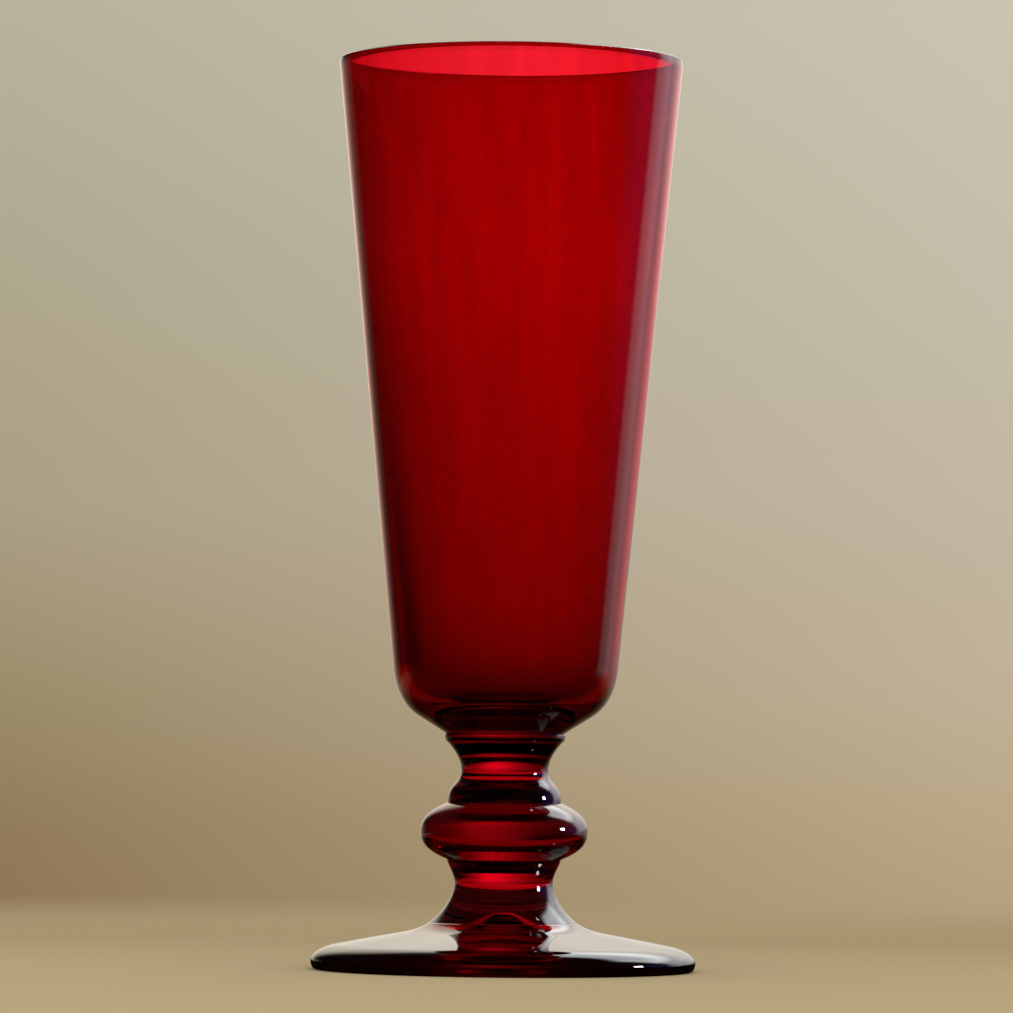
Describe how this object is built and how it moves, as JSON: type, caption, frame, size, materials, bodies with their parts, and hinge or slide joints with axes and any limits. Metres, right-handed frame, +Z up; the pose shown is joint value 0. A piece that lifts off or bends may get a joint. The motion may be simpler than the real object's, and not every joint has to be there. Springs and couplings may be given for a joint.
{
  "type": "champagne flute",
  "caption": "Ruby glass champagne flute with a tall cone bowl, thin collar, short stem, round cushion knop and wide disc foot.",
  "frame": {"origin": "centre of the surface that the foot stands on", "axes": "+Z up along the axis of the flute, which is round; +X and +Y point anywhere across the foot"},
  "size_m": [0.0696, 0.0696, 0.165],
  "materials": {
    "ruby_glass": "clear deep red glass with a fire-polished gloss, brighter where it is thin and nearly black where it is thick"
  },
  "bodies": {
    "root": {"bowl": "ruby_glass", "merese": "ruby_glass", "upper_stem": "ruby_glass", "knop": "ruby_glass", "lower_stem": "ruby_glass", "foot": "ruby_glass"}
  },
  "joints": []
}
